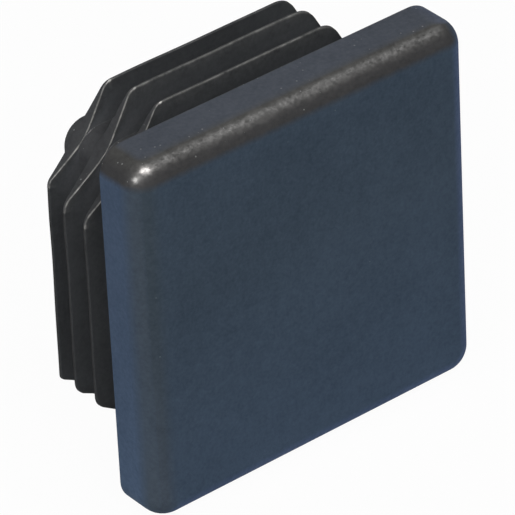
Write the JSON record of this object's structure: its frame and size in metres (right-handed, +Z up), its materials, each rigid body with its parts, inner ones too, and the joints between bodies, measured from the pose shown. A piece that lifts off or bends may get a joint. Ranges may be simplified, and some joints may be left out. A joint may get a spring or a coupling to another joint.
{
  "type": "strut channel end cap",
  "caption": "Push-in plastic end cap: a thick square plate with rounded front edges on a hollow square plug with wedge-shaped gripping ribs notched at the corners.",
  "frame": {"origin": "centre of the seat, the back face of the plate that meets the cut end of the channel", "axes": "+Y into the channel, along the plug; +Z up, as the picture shows the plate standing; +X to the right, seen from the front"},
  "size_m": [0.041, 0.0191, 0.041],
  "materials": {
    "cap": "satin, with a fine moulded grain"
  },
  "bodies": {
    "root": {"end_cap": "cap"}
  },
  "joints": []
}
